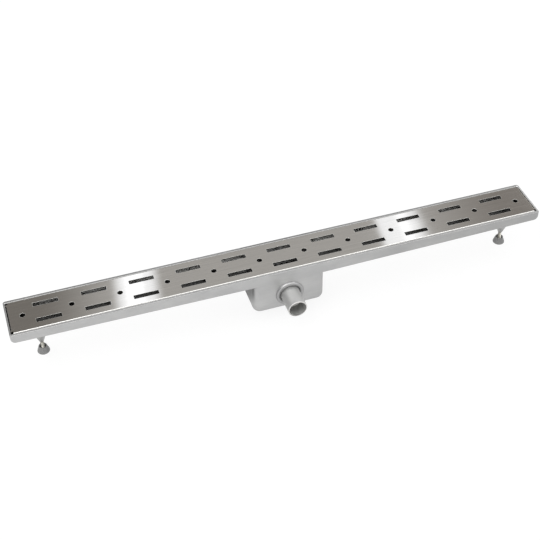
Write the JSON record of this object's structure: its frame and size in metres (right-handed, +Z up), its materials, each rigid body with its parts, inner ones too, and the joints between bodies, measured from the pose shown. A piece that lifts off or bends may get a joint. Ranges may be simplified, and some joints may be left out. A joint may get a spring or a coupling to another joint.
{
  "type": "linear shower drain",
  "caption": "Linear shower drain: long pressed steel channel with a slotted flush cover, a central trapped sump, a side outlet pipe and levelling feet.",
  "frame": {"origin": "centre of the cover's top face, level with the finished floor", "axes": "+X along the channel, -Y out of the outlet pipe, +Z up"},
  "size_m": [0.9, 0.12, 0.0865],
  "materials": {
    "satin_stainless": "pressed stainless sheet, pickled satin",
    "pipe_stainless": "drawn stainless tube, satin",
    "brushed_stainless": "stainless sheet, brushed along its length",
    "strainer_stainless": "perforated stainless sheet and wire, plain mill finish",
    "cone_steel": "pressed stainless, satin",
    "bolt_zinc": "zinc-plated steel, slightly warm",
    "pad_plastic": "grey moulded plastic, satin",
    "trap_plastic": "off-white moulded plastic",
    "plug_plastic": "blue moulded plastic",
    "seal_rubber": "black moulded rubber"
  },
  "bodies": {
    "drain": {"channel_body": "satin_stainless", "outlet_pipe": "pipe_stainless", "cover_plate": "brushed_stainless", "support_lug_back_1": "satin_stainless", "support_lug_back_2": "satin_stainless", "support_lug_back_3": "satin_stainless", "support_lug_back_4": "satin_stainless", "support_lug_back_5": "satin_stainless", "support_lug_back_6": "satin_stainless", "support_lug_back_7": "satin_stainless", "support_lug_front_1": "satin_stainless", "support_lug_front_2": "satin_stainless", "support_lug_front_3": "satin_stainless", "support_lug_front_4": "satin_stainless", "support_lug_front_5": "satin_stainless", "support_lug_front_6": "satin_stainless", "support_lug_front_7": "satin_stainless", "hair_strainer": "strainer_stainless", "strainer_handle": "strainer_stainless", "trap_elbow": "trap_plastic", "trap_seal": "seal_rubber", "rodding_plug": "plug_plastic", "foot_cone_left": "cone_steel", "foot_cone_right": "cone_steel"},
    "foot_left": {"foot_bolt_left": "bolt_zinc", "foot_pad_left": "pad_plastic"},
    "foot_right": {"foot_bolt_right": "bolt_zinc", "foot_pad_right": "pad_plastic"}
  },
  "joints": [
    {"name": "foot_left_slide", "type": "slide", "parent": "drain", "child": "foot_left", "axis": [0, 0, -1], "range_m": [-0.01, 0.02]},
    {"name": "foot_right_slide", "type": "slide", "parent": "drain", "child": "foot_right", "axis": [0, 0, -1], "range_m": [-0.01, 0.02]}
  ]
}
